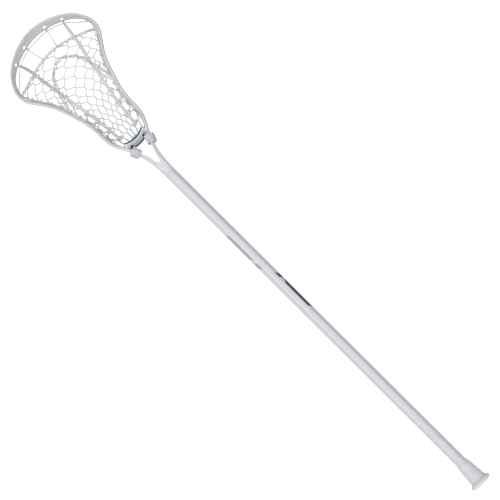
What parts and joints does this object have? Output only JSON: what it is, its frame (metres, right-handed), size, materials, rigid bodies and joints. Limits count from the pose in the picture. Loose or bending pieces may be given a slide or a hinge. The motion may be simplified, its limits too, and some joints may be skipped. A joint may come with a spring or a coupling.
{
  "type": "lacrosse stick",
  "caption": "Field lacrosse stick: an octagonal tube handle with a flared rubber butt cap, and an open flared head whose scoop and windowed sidewalls carry a laced mesh pocket.",
  "frame": {"origin": "centre of the flat butt face, on the handle's axis", "axes": "+X along the handle from the butt towards the scoop, +Z out of the ball side of the head, +Y to the left when looking from the butt along the handle with the ball side up"},
  "size_m": [1.093, 0.1874, 0.066],
  "materials": {
    "handle_gloss": "gloss lacquer over white composite",
    "head_plastic": "satin moulded nylon",
    "dark_foam": "matt closed-cell foam",
    "screw_steel": "plated",
    "cap_rubber": "matt moulded rubber",
    "netting": "knitted polyester cord",
    "cord": "braided nylon cord",
    "shooting_cord": "braided nylon cord",
    "runner_webbing": "flat woven thong"
  },
  "bodies": {
    "root": {"handle_shaft": "handle_gloss", "head_frame": "head_plastic", "ball_stop_pad": "dark_foam", "base_foam": "dark_foam", "head_screw": "screw_steel", "end_cap": "cap_rubber", "mesh_pocket": "netting", "top_string": "cord", "left_hanger_cord": "cord", "right_hanger_cord": "cord", "upper_shooting_string": "shooting_cord", "lower_shooting_string": "shooting_cord", "left_runner": "runner_webbing", "right_runner": "runner_webbing", "left_sidewall_string": "cord", "right_sidewall_string": "cord", "bottom_string": "cord", "left_throat_lashing": "cord", "right_throat_lashing": "cord"}
  },
  "joints": []
}
